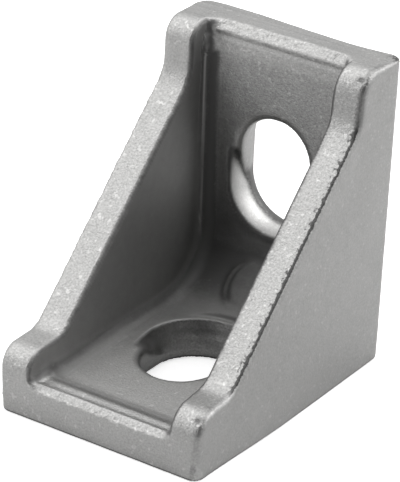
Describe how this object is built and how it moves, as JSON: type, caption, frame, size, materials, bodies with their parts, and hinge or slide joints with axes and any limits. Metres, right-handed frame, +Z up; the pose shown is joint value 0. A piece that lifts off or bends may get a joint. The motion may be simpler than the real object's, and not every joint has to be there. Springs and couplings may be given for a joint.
{
  "type": "t-slot corner bracket",
  "caption": "Die-cast right-angle bracket with a slotted screw hole in each leg and triangular gussets at both sides, for joining T-slot profiles.",
  "frame": {"origin": "middle of the footprint, on the base leg's mounting face", "axes": "+Z up along the wall leg, +Y towards the wall leg's mounting face, +X across the bracket, from one gusset to the other"},
  "size_m": [0.0204, 0.028, 0.028],
  "materials": {
    "cast_metal": "bead-blasted die casting, matt"
  },
  "bodies": {
    "root": {"corner_bracket": "cast_metal"}
  },
  "joints": []
}
